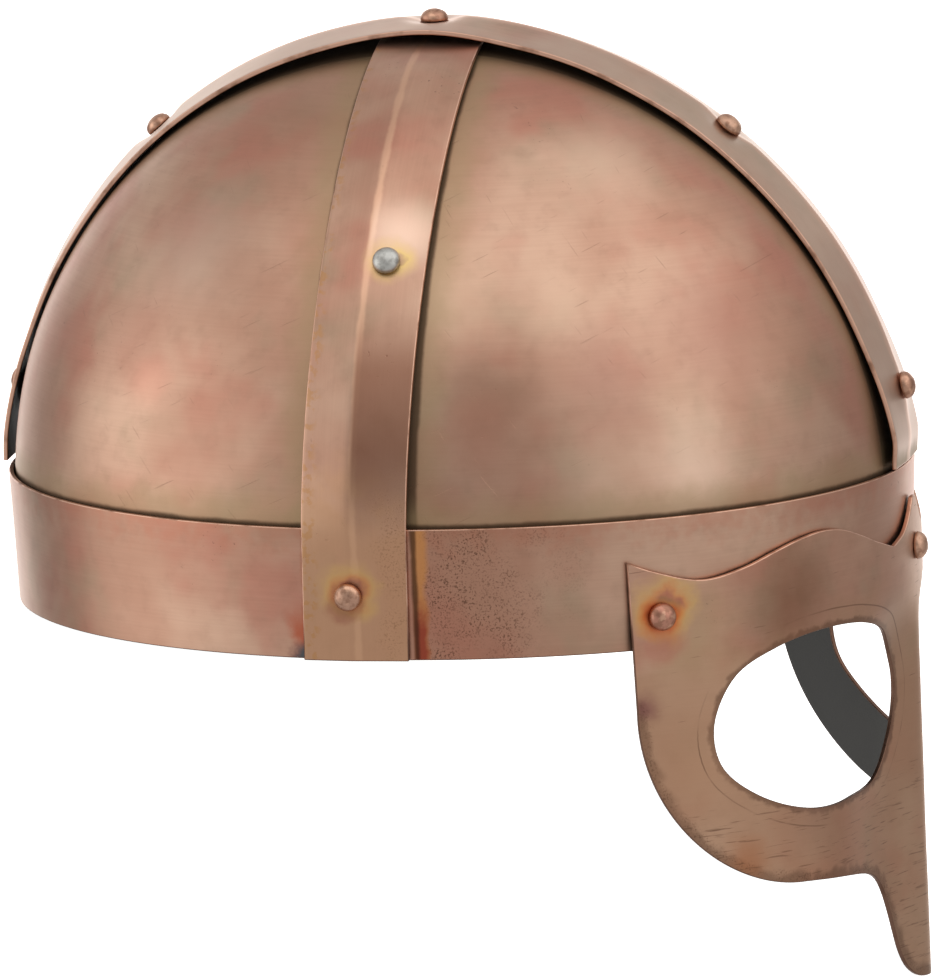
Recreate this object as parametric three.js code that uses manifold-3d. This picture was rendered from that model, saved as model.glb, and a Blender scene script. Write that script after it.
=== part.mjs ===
// A riveted Norse helmet of sheet steel: a round bowl, a creased band from
// front to back, a creased strap from ear to ear, a band round the brow, and a
// spectacle guard with a long nose piece. All sizes are in mm.
//
// The helmet is built level, with X forward, Y to the wearer's left, Z up and
// the origin in the middle of the rim. At the end the whole of it is leaned
// back until the tip of the nose piece and the back of the rim both touch the
// ground, as it rests by itself.
import * as THREE from 'three';
import Module from 'manifold-3d';
import { mergeVertices } from 'three/addons/utils/BufferGeometryUtils.js';
import { TessellateModifier } from 'three/addons/modifiers/TessellateModifier.js';

const wasm = await Module();
wasm.setup();

// ---- Sizes shared by several pieces ----
const sheet = 1.2;
const gap = 0.3;

// The brow band is a slightly tapered oval hoop, wider at its top edge.
const bandHeight = 33;
const bandTop = { length: 115.8, width: 101.2 };
const bandRim = { length: 114.2, width: 99.7 };

// The bowl stands upright inside the band and rounds over above it. Its back is
// a little fuller than its front.
const bowlRim = { length: 112.0, rear: 112.3, width: 98.0, z: 1.5 };
const bowlBrow = { length: 113.4, rear: 114.0, width: 99.2, z: bandHeight };
const bowlTop = 141.5;
const bowlLengthPower = 1.885;
const bowlRearPower = 2.15;
const bowlWidthPower = 1.68;

// The strap and the crest band cross a little behind the middle.
const crossing = -1.7;

// ---- Materials, one to each kind of surface ----
const finishes = {
  bowl: { color: 0xa97b66, roughness: 0.36, metalness: 1 },
  crest: { color: 0xb38570, roughness: 0.34, metalness: 1 },
  strap: { color: 0xb0806b, roughness: 0.35, metalness: 1 },
  band: { color: 0xa6745f, roughness: 0.38, metalness: 1 },
  guard: { color: 0x9c7762, roughness: 0.45, metalness: 1 },
  rivet: { color: 0xad7d66, roughness: 0.4, metalness: 1 },
  bareRivet: { color: 0x9a9a98, roughness: 0.35, metalness: 1 },
};

// ---- Small tools ----

// Rises smoothly from 0 at the first value to 1 at the second.
function ease(from, to, value) {
  const t = THREE.MathUtils.clamp((value - from) / (to - from), 0, 1);
  return t * t * (3 - 2 * t);
}

// How far out a rounded profile reaches at a share of its height. A power of 2
// is an ellipse, and less than 2 is a little more pointed. A larger second
// power makes the shoulder fuller.
function reachAt(share, power, shoulder = power) {
  return (1 - share ** power) ** (1 / shoulder);
}

// One closed skin that faces outward, made from any closed geometry.
function closedSkin(geometry) {
  const bare = geometry.clone();
  bare.deleteAttribute('normal');
  bare.deleteAttribute('uv');
  const skin = mergeVertices(bare, 1e-4);
  const index = Array.from(skin.index.array);
  const a = new THREE.Vector3();
  const b = new THREE.Vector3();
  const c = new THREE.Vector3();
  const kept = [];
  let volume = 0;
  for (let i = 0; i < index.length; i += 3) {
    const [p, q, r] = index.slice(i, i + 3);
    if (p === q || q === r || r === p) continue;
    kept.push(p, q, r);
    a.fromBufferAttribute(skin.attributes.position, p);
    b.fromBufferAttribute(skin.attributes.position, q);
    c.fromBufferAttribute(skin.attributes.position, r);
    volume += a.dot(b.cross(c));
  }
  if (volume < 0) kept.reverse();
  skin.setIndex(kept);
  return skin;
}

function toSolid(geometry) {
  const skin = closedSkin(geometry);
  return new wasm.Manifold(new wasm.Mesh({
    numProp: 3,
    vertProperties: new Float32Array(skin.attributes.position.array),
    triVerts: new Uint32Array(skin.index.array),
  }));
}

function toGeometry(solid) {
  const mesh = solid.getMesh();
  const geometry = new THREE.BufferGeometry();
  geometry.setAttribute('position', new THREE.BufferAttribute(mesh.vertProperties, 3));
  geometry.setIndex(new THREE.BufferAttribute(mesh.triVerts, 1));
  return geometry;
}

// An oval hoop or dome: a profile turned round Z, each ring then squeezed to
// its own width, and to its own length at the rear where it has one.
function ovalTurning(rings, segments) {
  const profile = rings.map((ring) => new THREE.Vector2(ring.length, ring.z));
  const geometry = new THREE.LatheGeometry(profile, segments);
  geometry.rotateX(Math.PI / 2);
  const position = geometry.attributes.position;
  for (let i = 0; i < position.count; i += 1) {
    const ring = rings[i % rings.length];
    if (ring.length === 0) continue;
    position.setY(i, position.getY(i) * ring.width / ring.length);
    if (ring.rear && position.getX(i) < 0) {
      position.setX(i, position.getX(i) * ring.rear / ring.length);
    }
  }
  return geometry;
}

// Moves every point of a flat blank to its place on the finished piece.
function bent(blank, place) {
  const position = blank.attributes.position;
  const point = new THREE.Vector3();
  for (let i = 0; i < position.count; i += 1) {
    point.fromBufferAttribute(position, i);
    const to = place(point.x, point.y, point.z);
    position.setXYZ(i, to.x, to.y, to.z);
  }
  return blank;
}

// A strip blank runs 0 to 1 along X and -1 to 1 across Y, and Z is the depth
// from 0 on the inner face to 1 on the outer face.
function stripBlank(steps) {
  const blank = new THREE.BoxGeometry(1, 2, 1, steps, 2, 1);
  blank.translate(0.5, 0, 0.5);
  return blank;
}

// ---- Bowl: one raised dome, open below ----
function bowlRing(share, inset) {
  const height = bowlTop - inset - bowlBrow.z;
  return {
    length: (bowlBrow.length - inset) * reachAt(share, bowlLengthPower),
    rear: (bowlBrow.rear - inset) * reachAt(share, bowlLengthPower, bowlRearPower),
    width: (bowlBrow.width - inset) * reachAt(share, bowlWidthPower),
    z: bowlBrow.z + height * share,
  };
}

function bowlRings(inset) {
  const rings = [{
    length: bowlRim.length - inset,
    rear: bowlRim.rear - inset,
    width: bowlRim.width - inset,
    z: bowlRim.z,
  }];
  const levels = 9;
  for (let i = 0; i <= levels; i += 1) {
    const turn = (i / levels) * Math.PI / 2;
    rings.push(bowlRing(Math.sin(turn) ** (2 / bowlLengthPower), inset));
  }
  const apex = rings[rings.length - 1];
  apex.length = 0;
  apex.width = 0;
  return rings;
}

const bowlShell = ovalTurning([...bowlRings(sheet).reverse(), ...bowlRings(0)], 52);

// ---- Brow band ----
function bandRing(z, inset) {
  const share = z / bandHeight;
  return {
    length: THREE.MathUtils.lerp(bandRim.length, bandTop.length, share) - inset,
    width: THREE.MathUtils.lerp(bandRim.width, bandTop.width, share) - inset,
    z,
  };
}

const browHoop = ovalTurning([
  bandRing(0, 0),
  bandRing(bandHeight, 0),
  bandRing(bandHeight, sheet),
  bandRing(0, sheet),
  bandRing(0, 0),
], 64);

// ---- Crest band: front to back, with a ridge along its middle ----
const crest = {
  halfWidth: 14.2,
  top: 146.5,
  front: { reach: 118.6, outPower: 1.88, upPower: 1.88, endFold: 0.5, tuck: 0.9 },
  rear: { reach: 116.2, outPower: 2.02, upPower: 1.87, endFold: 1.1, tuck: 0.2 },
  fold: 2.9,
  foot: bandHeight + 0.4,
};

// Where it crosses the strap the crest band is beaten a little flatter.
const crossingFold = 2.1;
const crossingTurn = 91;
const crossingReach = 14;

// The ridge line. The turn is 0 degrees at the brow, 90 at the top and 180 at
// the nape, and both ends curl in a little over the brow band.
function crestRidge(degrees) {
  const turn = THREE.MathUtils.degToRad(degrees);
  const half = degrees < 90 ? crest.front : crest.rear;
  const out = Math.abs(Math.cos(turn)) ** (2 / half.outPower);
  const up = Math.sin(turn) ** (2 / half.upPower);
  const z = bandHeight + (crest.top - bandHeight) * up;
  const curl = half.tuck * (1 - ease(crest.foot, crest.foot + 8, z));
  const way = degrees < 90 ? 1 : -1;
  return new THREE.Vector3(crossing + way * (half.reach * out - curl), 0, z);
}

// The turn at which the ridge stands at the foot height.
const crestFootShare = (crest.foot - bandHeight) / (crest.top - bandHeight);
const crestFirst = THREE.MathUtils.radToDeg(Math.asin(crestFootShare ** (crest.front.upPower / 2)));

// The direction square to a line in its own upright plane, on the outer side.
function outwardOf(line, value, step, across) {
  const along = line(value + step).sub(line(value - step));
  return across.clone().cross(along).normalize();
}

function crestOutward(degrees) {
  return outwardOf(crestRidge, degrees, 0.2, new THREE.Vector3(0, 1, 0));
}

function crestPoint(along, across, depth) {
  const degrees = THREE.MathUtils.lerp(crestFirst, 180 - crestFirst, along);
  const toEnd = Math.min(degrees, 180 - degrees);
  const { endFold } = degrees < 90 ? crest.front : crest.rear;
  const fromCrossing = ease(0, crossingReach, Math.abs(degrees - crossingTurn));
  const middleFold = THREE.MathUtils.lerp(crossingFold, crest.fold, fromCrossing);
  const fold = THREE.MathUtils.lerp(endFold, middleFold, ease(0, 22, toEnd));
  const inward = fold * Math.abs(across) + sheet * (1 - depth);
  const point = crestRidge(degrees);
  point.addScaledVector(crestOutward(THREE.MathUtils.clamp(degrees, 1, 179)), -inward);
  point.y = across * crest.halfWidth;
  point.z = Math.max(point.z, crest.foot);
  return point;
}

// ---- Side strap: ear to ear over the bowl, under the crest band ----
const strap = {
  halfWidth: 13.3,
  top: 143.2,
  reach: 102.2,
  power: 1.672,
  rimReach: 100.9,
  rimZ: 0,
  fold: 2.4,
  rimFold: 0.7,
  topFold: 0.2,
  creaseOffset: -1.0,
  lean: 0.017,
};

// The line of the strap's edges. The first part of the way climbs the band, the
// middle part goes over the bowl, and the last part comes down the other side.
const strapBandShare = 0.12;

function strapLine(along) {
  const side = along < 0.5 ? -1 : 1;
  const way = along < 0.5 ? along : 1 - along;
  const climb = strap.top - bandHeight;
  let y = 0;
  let z = 0;
  if (way < strapBandShare) {
    const share = way / strapBandShare;
    y = THREE.MathUtils.lerp(strap.rimReach, strap.reach, share);
    z = THREE.MathUtils.lerp(strap.rimZ, bandHeight, share);
  } else {
    const turn = ((way - strapBandShare) / (0.5 - strapBandShare)) * Math.PI / 2;
    y = strap.reach * Math.cos(turn) ** (2 / strap.power);
    z = bandHeight + climb * Math.sin(turn) ** (2 / strap.power);
  }
  return new THREE.Vector3(crossing + strap.lean * (z - strap.top), side * y, z);
}

function strapOutward(along) {
  const inside = THREE.MathUtils.clamp(along, 0.003, 0.997);
  return outwardOf(strapLine, inside, 0.003, new THREE.Vector3(1, 0, 0));
}

// How far the crease stands out: little at the rim, and almost nothing where
// the strap passes under the crest band.
function strapFold(point) {
  const fold = THREE.MathUtils.lerp(strap.rimFold, strap.fold, ease(5, 45, point.z));
  return THREE.MathUtils.lerp(strap.topFold, fold, ease(12, 30, Math.abs(point.y)));
}

function strapPoint(along, across, depth) {
  const point = strapLine(along);
  const fold = strapFold(point);
  const crease = across === 0 ? 1 : 0;
  const outward = strapOutward(along);
  point.addScaledVector(outward, fold * crease - sheet * (1 - depth));
  point.x += across * strap.halfWidth + strap.creaseOffset * crease;
  point.z = Math.max(point.z, strap.rimZ);
  return point;
}

// ---- Spectacle guard: cut flat, folded along the nose, bent round the brow ----
// The flat blank is measured round the brow from the nose line (first number)
// and up from the rim (second number).
const guard = {
  length: 117.2,
  width: 102.6,
  flare: 0.012,
  roundBrow: 110,
  side: 111.4,
  ringCentre: { s: 62.3, z: -15.5 },
  ringRadius: 47.8,
  noseFold: 0.42,
  noseRound: 2.5,
  foldFrom: 4,
  foldFull: -16,
  foldInner: 12,
  foldOuter: 56,
};

// The wavy brow edge, from the side corner to the dip beside the nose.
const browWave = [
  [111.4, 22.6], [104, 19.7], [92, 16.7], [80, 18.4], [70, 21.3], [62, 23.2],
  [54, 24.1], [46, 23.3], [37.5, 20.6], [30, 17.8], [19.5, 14.7],
];
// The pointed tongue that carries the middle rivet.
const tongueEdge = [[19.5, 14.7], [11, 17], [6.2, 20], [3.4, 22.6], [1.6, 24.4]];
// The nose piece, from the bottom of the ring to the blunt tip.
const noseEdge = [
  [59.4, -63.6], [45.4, -64.9], [35, -66.3], [29.5, -67.6], [25.3, -69.7], [22, -73.6],
  [19.1, -79.3], [16.9, -84.9], [14.9, -89.8], [12.1, -94.2], [8.8, -96.9],
  [5.4, -98.3], [0, -98.9],
];
// The eye hole, cut by hand and not quite an oval.
const eyeHole = [
  [13.2, -23], [14.6, -14.6], [21, -7.2], [36, -2], [55, -0.6], [71, -3],
  [83.5, -8.6], [90, -20], [88.4, -30.5], [79, -38.7], [62, -44.8],
  [42, -45.2], [24.5, -43.2], [16.4, -34],
];

function smoothLine(points, steps, closed = false) {
  const through = points.map(([s, z]) => new THREE.Vector3(s, z, 0));
  const curve = new THREE.CatmullRomCurve3(through, closed, 'centripetal');
  return curve.getPoints(steps).map((point) => [point.x, point.y]);
}

function ringArc(steps) {
  const points = [];
  for (let i = 0; i <= steps; i += 1) {
    const turn = THREE.MathUtils.degToRad(THREE.MathUtils.lerp(-88, 0, i / steps));
    points.push([
      guard.ringCentre.s + guard.ringRadius * Math.cos(turn),
      guard.ringCentre.z + guard.ringRadius * Math.sin(turn),
    ]);
  }
  return points;
}

// One half from the tip up to the top of the tongue, then the other half.
const halfOutline = [
  ...smoothLine(noseEdge.slice().reverse(), 24),
  ...ringArc(14),
  ...smoothLine(browWave, 26),
  ...smoothLine(tongueEdge, 8).slice(1),
];

function mirrored(points) {
  return points.map(([s, z]) => [-s, z]).reverse();
}

// The flat sheet, ruled closely beside the nose and more widely at the sides.
function guardBlank() {
  const columns = 44;
  const rows = 11;
  const blank = new THREE.BoxGeometry(2, 128, 1, columns, rows, 1);
  blank.translate(0, -37, 0.5);
  return bent(blank, (share, z, depth) => {
    const s = Math.sign(share) * Math.abs(share) ** 1.35 * (guard.side + 4);
    return new THREE.Vector3(s, z, depth);
  });
}

// The cutting outline, deeper than the sheet on both faces.
function guardCutter() {
  const outline = [...halfOutline, ...mirrored(halfOutline).slice(0, -1)];
  const shape = new THREE.Shape(outline.map(([s, z]) => new THREE.Vector2(s, z)));
  const hole = smoothLine(eyeHole, 32, true).slice(1);
  for (const edge of [hole, mirrored(hole)]) {
    shape.holes.push(new THREE.Path(edge.map(([s, z]) => new THREE.Vector2(s, z))));
  }
  const block = new THREE.ExtrudeGeometry(shape, { depth: 6, bevelEnabled: false });
  block.translate(0, 0, -2.5);
  return new TessellateModifier(14, 8).modify(block);
}

// The outer face of the guard. The nose fold leaves the ridge where it is and
// draws the sheet back on either side of it.
function guardFace(s, z) {
  const length = guard.length - guard.flare * z;
  const y = guard.width * Math.sin(s / guard.roundBrow);
  const oval = length * (1 - Math.cos(s / guard.roundBrow));
  const folded = guard.noseFold * (Math.hypot(y, guard.noseRound) - guard.noseRound);
  const nearNose = 1 - ease(guard.foldInner, guard.foldOuter, Math.abs(y));
  const amount = ease(guard.foldFrom, guard.foldFull, z) * nearNose;
  return new THREE.Vector3(length - THREE.MathUtils.lerp(oval, folded, amount), y, z);
}

function guardOutward(s, z) {
  const step = 0.5;
  const round = guardFace(s + step, z).sub(guardFace(s - step, z));
  const up = guardFace(s, z + step).sub(guardFace(s, z - step));
  return round.cross(up).normalize();
}

function guardPoint(s, z, depth) {
  return guardFace(s, z).addScaledVector(guardOutward(s, z), -sheet * (1 - depth));
}

function guardPlate() {
  const sheetSolid = toSolid(bent(guardBlank(), guardPoint));
  return sheetSolid.intersect(toSolid(bent(guardCutter(), guardPoint)));
}

// ---- Rivets: domed head, shank through the sheets, flattened tail inside ----
const rivet = { headRadius: 3.6, headHeight: 3.1, shank: 1.9, tailRadius: 2.8, tail: 1.0 };
const holeRadius = rivet.shank + gap;

function rivetGeometry(grip) {
  const profile = [new THREE.Vector2(0, rivet.headHeight)];
  const steps = 3;
  for (let i = 1; i <= steps; i += 1) {
    const turn = (i / steps) * Math.PI / 2;
    profile.push(new THREE.Vector2(
      rivet.headRadius * Math.sin(turn),
      rivet.headHeight * Math.cos(turn) ** 0.8,
    ));
  }
  profile.push(new THREE.Vector2(rivet.shank, 0));
  profile.push(new THREE.Vector2(rivet.shank, -grip));
  profile.push(new THREE.Vector2(rivet.tailRadius, -grip));
  profile.push(new THREE.Vector2(rivet.tailRadius * 0.8, -grip - rivet.tail));
  profile.push(new THREE.Vector2(0, -grip - rivet.tail));
  const geometry = new THREE.LatheGeometry(profile, 10);
  geometry.rotateX(Math.PI / 2);
  return geometry;
}

// ---- Sheets before drilling ----
const sheets = {
  bowl: toSolid(bowlShell),
  crest_band: toSolid(bent(stripBlank(38), crestPoint)),
  side_strap: toSolid(bent(stripBlank(40), strapPoint)),
  brow_band: toSolid(browHoop),
  eye_guard: guardPlate(),
};

// Where each rivet's head sits, which way it points and what it passes through.
function crestRivet(name, degrees, through = ['crest_band', 'bowl']) {
  return { name, seat: crestRidge(degrees), outward: crestOutward(degrees), through };
}

function strapRivet(name, along, across, through) {
  const seat = strapPoint(along, across > 0 ? 1 : -1, 1);
  const outward = strapOutward(along);
  const centre = strapLine(along);
  seat.x = centre.x + across;
  seat.addScaledVector(outward, strapFold(centre) * (1 - Math.abs(across) / strap.halfWidth) + 0.2);
  return { name, seat, outward, through };
}

function guardRivet(name, s, z) {
  const through = ['eye_guard', 'brow_band', 'bowl'];
  return { name, seat: guardFace(s, z), outward: guardOutward(s, z), through };
}

const strapMid = 0.281;
const strapLow = 0.06;
const overBand = ['side_strap', 'brow_band', 'bowl'];
const rivets = [
  crestRivet('rivet_crest_top', 90.8, ['crest_band', 'side_strap', 'bowl']),
  crestRivet('rivet_crest_front_high', 50.2),
  crestRivet('rivet_crest_front_low', 11),
  crestRivet('rivet_crest_rear_high', 129.9),
  crestRivet('rivet_crest_rear_low', 169),
  strapRivet('rivet_strap_right_mid', strapMid, 3.8, ['side_strap', 'bowl']),
  strapRivet('rivet_strap_right_low', strapLow, -1.4, overBand),
  strapRivet('rivet_strap_left_mid', 1 - strapMid, 3.8, ['side_strap', 'bowl']),
  strapRivet('rivet_strap_left_low', 1 - strapLow, -1.4, overBand),
  guardRivet('rivet_guard_centre', 0, 11.7),
  guardRivet('rivet_guard_right', -103.2, 8.7),
  guardRivet('rivet_guard_left', 103.2, 8.7),
];

// The grip runs from the seat to just inside the bowl's inner face.
const bowlMesh = new THREE.Mesh(
  toGeometry(sheets.bowl),
  new THREE.MeshBasicMaterial({ side: THREE.DoubleSide }),
);
bowlMesh.updateMatrixWorld();

function gripTo(seat, outward) {
  const start = seat.clone().addScaledVector(outward, 5);
  const ray = new THREE.Raycaster(start, outward.clone().negate(), 0, 40);
  const hits = ray.intersectObject(bowlMesh);
  return hits[hits.length - 1].distance - 5 + gap;
}

// ---- Assembly ----
const helmet = new THREE.Group();
helmet.name = 'helmet';

function addPiece(name, geometry, finish) {
  const piece = new THREE.Mesh(geometry, new THREE.MeshStandardMaterial(finish));
  piece.name = name;
  helmet.add(piece);
  return piece;
}

for (const { name, seat, outward, through } of rivets) {
  const head = seat.clone().addScaledVector(outward, gap);
  const upright = new THREE.Quaternion().setFromUnitVectors(new THREE.Vector3(0, 0, 1), outward);
  const grip = gripTo(seat, outward) + gap;
  const finish = name.endsWith('_mid') ? finishes.bareRivet : finishes.rivet;
  const piece = addPiece(name, closedSkin(rivetGeometry(grip)), finish);
  piece.position.copy(head);
  piece.quaternion.copy(upright);

  const drill = new THREE.CylinderGeometry(holeRadius, holeRadius, grip + 12, 10);
  drill.rotateX(Math.PI / 2);
  drill.translate(0, 0, -grip / 2);
  drill.applyQuaternion(upright);
  drill.translate(head.x, head.y, head.z);
  for (const sheetName of through) {
    sheets[sheetName] = sheets[sheetName].subtract(toSolid(drill));
  }
}

addPiece('bowl', toGeometry(sheets.bowl), finishes.bowl);
addPiece('crest_band', toGeometry(sheets.crest_band), finishes.crest);
addPiece('side_strap', toGeometry(sheets.side_strap), finishes.strap);
addPiece('brow_band', toGeometry(sheets.brow_band), finishes.band);
addPiece('eye_guard', toGeometry(sheets.eye_guard), finishes.guard);

// ---- Lean back on the nose tip and the back of the rim ----
function lowestAt(name, lean) {
  helmet.rotation.y = -lean;
  helmet.updateMatrixWorld(true);
  return new THREE.Box3().setFromObject(helmet.getObjectByName(name), true).min.z;
}

// Leaning further back lifts the nose tip, so the right lean is found by
// halving between too little and too much.
let tooLittle = THREE.MathUtils.degToRad(15);
let tooMuch = THREE.MathUtils.degToRad(30);
for (let i = 0; i < 24; i += 1) {
  const lean = (tooLittle + tooMuch) / 2;
  if (lowestAt('eye_guard', lean) < lowestAt('brow_band', lean)) tooLittle = lean;
  else tooMuch = lean;
}
helmet.rotation.y = -(tooLittle + tooMuch) / 2;

const group = new THREE.Group();
group.name = 'norse_helmet';
group.add(helmet);
group.updateMatrixWorld(true);

// The middle of the footprint goes to the origin and the lowest point to Z 0.
const box = new THREE.Box3().setFromObject(group, true);
helmet.position.set(
  -(box.min.x + box.max.x) / 2,
  -(box.min.y + box.max.y) / 2,
  -box.min.z,
);

export default group;
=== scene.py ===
# %% [markdown]
# # A riveted Norse helmet
# The real helmet is made of 1.2 mm sheet steel: a raised bowl, a band round the brow, a ridged
# crest from brow to nape, a creased strap from ear to ear and a spectacle guard over the eyes.
# All of it is plated with copper, darkened with an antique finish and rubbed back, and held
# together with domed rivets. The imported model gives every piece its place, and this script
# makes the same pieces again with fine edges, creases, hammer marks and finishes.

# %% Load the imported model
import math

import bmesh
import bpy
from mathutils import Matrix, Vector, noise


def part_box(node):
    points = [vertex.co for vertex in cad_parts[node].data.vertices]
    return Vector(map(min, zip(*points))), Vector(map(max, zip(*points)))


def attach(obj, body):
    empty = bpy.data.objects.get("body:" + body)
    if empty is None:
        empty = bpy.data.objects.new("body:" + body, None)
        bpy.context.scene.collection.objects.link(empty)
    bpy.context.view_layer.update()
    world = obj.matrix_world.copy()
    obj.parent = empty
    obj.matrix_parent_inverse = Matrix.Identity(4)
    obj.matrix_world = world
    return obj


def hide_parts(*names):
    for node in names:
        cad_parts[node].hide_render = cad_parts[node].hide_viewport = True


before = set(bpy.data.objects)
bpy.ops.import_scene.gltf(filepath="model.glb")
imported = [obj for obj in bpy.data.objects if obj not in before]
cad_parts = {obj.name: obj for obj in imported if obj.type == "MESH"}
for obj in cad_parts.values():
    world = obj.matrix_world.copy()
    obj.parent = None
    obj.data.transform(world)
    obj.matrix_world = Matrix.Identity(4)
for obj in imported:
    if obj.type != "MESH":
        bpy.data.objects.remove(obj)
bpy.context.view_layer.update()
print("pieces in the packed model:", len(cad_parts))

# %% [markdown]
# ## The helmet's own frame
# The helmet rests leaned back on the tip of its nose piece and the back of its rim. It is far
# easier to shape level, with X forward, Y to the wearer's left, Z up and the origin in the
# middle of the rim. So every mesh is made level, and one matrix leans it. The amount of lean is
# known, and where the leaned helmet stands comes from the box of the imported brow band.

# %% The brow band's size and the leaning matrix
MM = 0.001
SHEET = 1.2
BAND_HEIGHT = 33.0
BAND_TOP = (115.8, 101.2)
BAND_RIM = (114.2, 99.7)
LEAN = math.radians(23.146)


def mix(first, second, share):
    return first + (second - first) * share


def ease(start, end, value):
    """Rises smoothly from 0 at the start to 1 at the end."""
    share = min(max((value - start) / (end - start), 0.0), 1.0)
    return share * share * (3 - 2 * share)


def band_point(share, turn, depth):
    """A point of the brow band: share of its height, turn round it, depth 0 inside to 1 outside."""
    inset = SHEET * (1 - depth)
    length = mix(BAND_RIM[0], BAND_TOP[0], share) - inset
    width = mix(BAND_RIM[1], BAND_TOP[1], share) - inset
    angle = turn * math.tau
    return Vector((length * math.cos(angle), width * math.sin(angle), BAND_HEIGHT * share))


leaning = Matrix.Rotation(-LEAN, 4, "Y")
rim_steps = 64
hoop = [leaning @ band_point(end, k / rim_steps, 1) for end in (0, 1) for k in range(rim_steps)]
hoop_corner = Vector([min(point[axis] for point in hoop) * MM for axis in range(3)])
HELMET = Matrix.Translation(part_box("brow_band")[0] - hoop_corner) @ leaning
print("helmet stands at", [round(v, 4) for v in HELMET.translation])

# %% [markdown]
# ## Camera
# A long lens from far away keeps the helmet's ovals flat. The camera stands in front of the
# wearer's right side, a little above the rim, and is turned with the helmet, so the band runs
# nearly level across the picture although the helmet itself leans back on its nose piece.

# %% Camera
VIEW_ROUND = math.radians(13.31)
VIEW_UP = math.radians(10.216)
VIEW_ROLL = math.radians(1.765)
VIEW_DISTANCE = 3102.6
VIEW_AIM = Vector((1.98, 0, 24.645))
LENS = 449.3

backward = Vector((
    math.sin(VIEW_ROUND) * math.cos(VIEW_UP),
    -math.cos(VIEW_ROUND) * math.cos(VIEW_UP),
    math.sin(VIEW_UP),
))
level_right = Vector((math.cos(VIEW_ROUND), math.sin(VIEW_ROUND), 0))
level_up = backward.cross(level_right)
right = level_right * math.cos(VIEW_ROLL) - level_up * math.sin(VIEW_ROLL)
upward = level_right * math.sin(VIEW_ROLL) + level_up * math.cos(VIEW_ROLL)
turned = Matrix((right, upward, backward)).transposed().to_4x4()
place = Matrix.Translation((VIEW_AIM + backward * VIEW_DISTANCE) * MM)

camera_data = bpy.data.cameras.new("camera")
camera_data.lens = LENS
camera_data.sensor_width = 36
camera = bpy.data.objects.new("camera", camera_data)
bpy.context.scene.collection.objects.link(camera)
camera.matrix_world = HELMET @ place @ turned
bpy.context.scene.camera = camera
to_camera = (HELMET.to_3x3() @ backward).normalized()
print("camera looks down by", round(math.degrees(math.asin(to_camera.z)), 1), "degrees")

# %% [markdown]
# ## Nodes and colours
# Every finish below is made of shader nodes. One small function adds a node with its settings
# and links, and returns the output that the next node needs. Colours are written as sRGB hex
# values, as a paint chart gives them, and turned to the linear values that Blender works in.

# %% Node and colour helpers
def linear(code):
    """An sRGB hex colour as linear RGBA."""
    values = [int(code[k:k + 2], 16) / 255 for k in (1, 3, 5)]
    return [v / 12.92 if v <= 0.04045 else ((v + 0.055) / 1.055) ** 2.4 for v in values] + [1]


def add(tree, kind, inputs=None, out=0, **settings):
    """Adds one node, sets or links its inputs by name or number, and returns one output, if it has any."""
    new = tree.nodes.new(kind)
    for name, value in settings.items():
        setattr(new, name, value)
    for name, value in (inputs or {}).items():
        if isinstance(value, bpy.types.NodeSocket):
            tree.links.new(value, new.inputs[name])
        else:
            new.inputs[name].default_value = value
    return new.outputs[out] if new.outputs else None


# %% [markdown]
# ## Studio
# Polished metal shows the room more than itself. The room here is a light tent: even pale
# walls, with a few soft lit panels and a bright backdrop behind the helmet, which gives its
# outline the white rim. Three dark cards, with a strength below 0, keep parts of the metal from
# turning flat and pale. Panels and cards are painted into the world by direction.

# %% World with soft panels
def direction(round_degrees, up_degrees):
    """A direction in the room: degrees round from -Y towards +X, and degrees above the floor."""
    around = math.radians(round_degrees)
    up = math.radians(up_degrees)
    return Vector((math.sin(around) * math.cos(up), -math.cos(around) * math.cos(up), math.sin(up)))


WALLS = 0.72
PANELS = [
    (direction(-70, -14), 40, 14, 0.85),
    (direction(-59, 46), 26, 6, 0.8),
    (direction(50, 72), 52, 14, 0.42),
    (direction(60, 28), 20, 6, 0.5),
    (-to_camera, 40, 16, 1.3),
    (direction(-116, -28), 24, 8, -0.40),
    (direction(2, 18), 24, 8, -0.36),
    (direction(125, 12), 36, 14, -0.22),
]

world = bpy.data.worlds.new("light_tent")
world.use_nodes = True
room = world.node_tree
room.nodes.clear()
look = add(room, "ShaderNodeTexCoord")
level = WALLS
for towards, outer, inner, strength in PANELS:
    facing = add(room, "ShaderNodeVectorMath", {0: look, 1: towards}, out=1, operation="DOT_PRODUCT")
    glow = add(room, "ShaderNodeMapRange", {
        "Value": facing,
        "From Min": math.cos(math.radians(outer)),
        "From Max": math.cos(math.radians(inner)),
        "To Max": strength,
    }, interpolation_type="SMOOTHSTEP")
    level = add(room, "ShaderNodeMath", {0: level, 1: glow}, operation="ADD")
backdrop = add(room, "ShaderNodeBackground", {"Color": linear("#FFFEFC"), "Strength": level})
add(room, "ShaderNodeOutputWorld", {"Surface": backdrop})
bpy.context.scene.world = world
bpy.context.scene.view_settings.view_transform = "Standard"
print("soft panels and dark cards:", len(PANELS))

# %% [markdown]
# The floor is matt white and lit from itself, like a light table, so the helmet casts no
# visible shadow on it. A weak softbox overhead adds a little light from above.

# %% Pale floor and a large overhead softbox
FLOOR_HALF = 12.0

floor_mesh = bpy.data.meshes.new("floor")
floor_bm = bmesh.new()
bmesh.ops.create_grid(floor_bm, x_segments=8, y_segments=8, size=FLOOR_HALF)
floor_bm.to_mesh(floor_mesh)
floor_bm.free()
floor = bpy.data.objects.new("floor", floor_mesh)
bpy.context.scene.collection.objects.link(floor)
floor.visible_glossy = False

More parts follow.
